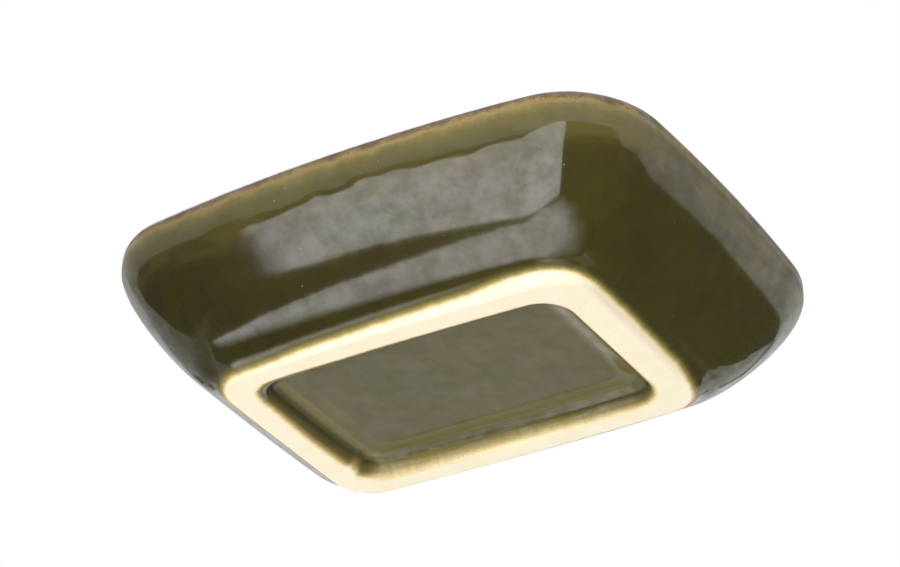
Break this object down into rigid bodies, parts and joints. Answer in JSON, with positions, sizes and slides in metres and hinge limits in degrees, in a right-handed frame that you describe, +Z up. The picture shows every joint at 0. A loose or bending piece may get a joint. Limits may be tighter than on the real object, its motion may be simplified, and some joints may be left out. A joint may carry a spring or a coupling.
{
  "type": "dip bowl",
  "caption": "Shallow rectangular stoneware dip bowl with rounded corners, flared walls, olive glaze that breaks brown at the lip, and a bare clay foot ring.",
  "frame": {"origin": "middle of the foot ring's resting face", "axes": "+X along the bowl's length, +Y across it, +Z up out of the well"},
  "size_m": [0.1, 0.0802, 0.0232],
  "materials": {
    "bare_stoneware": "bare fired cream stoneware, fine pores",
    "olive_glaze": "glossy dark olive glaze",
    "brown_rim_glaze": "glossy glaze, thin and brown over the lip",
    "well_olive_glaze": "glossy dark olive glaze, pooled a little deeper at the floor",
    "recess_olive_glaze": "satin olive glaze inside the foot ring"
  },
  "bodies": {
    "root": {"clay_body": "bare_stoneware", "outer_glaze": "olive_glaze", "rim_glaze": "brown_rim_glaze", "well_glaze": "well_olive_glaze", "recess_glaze": "recess_olive_glaze"}
  },
  "joints": []
}
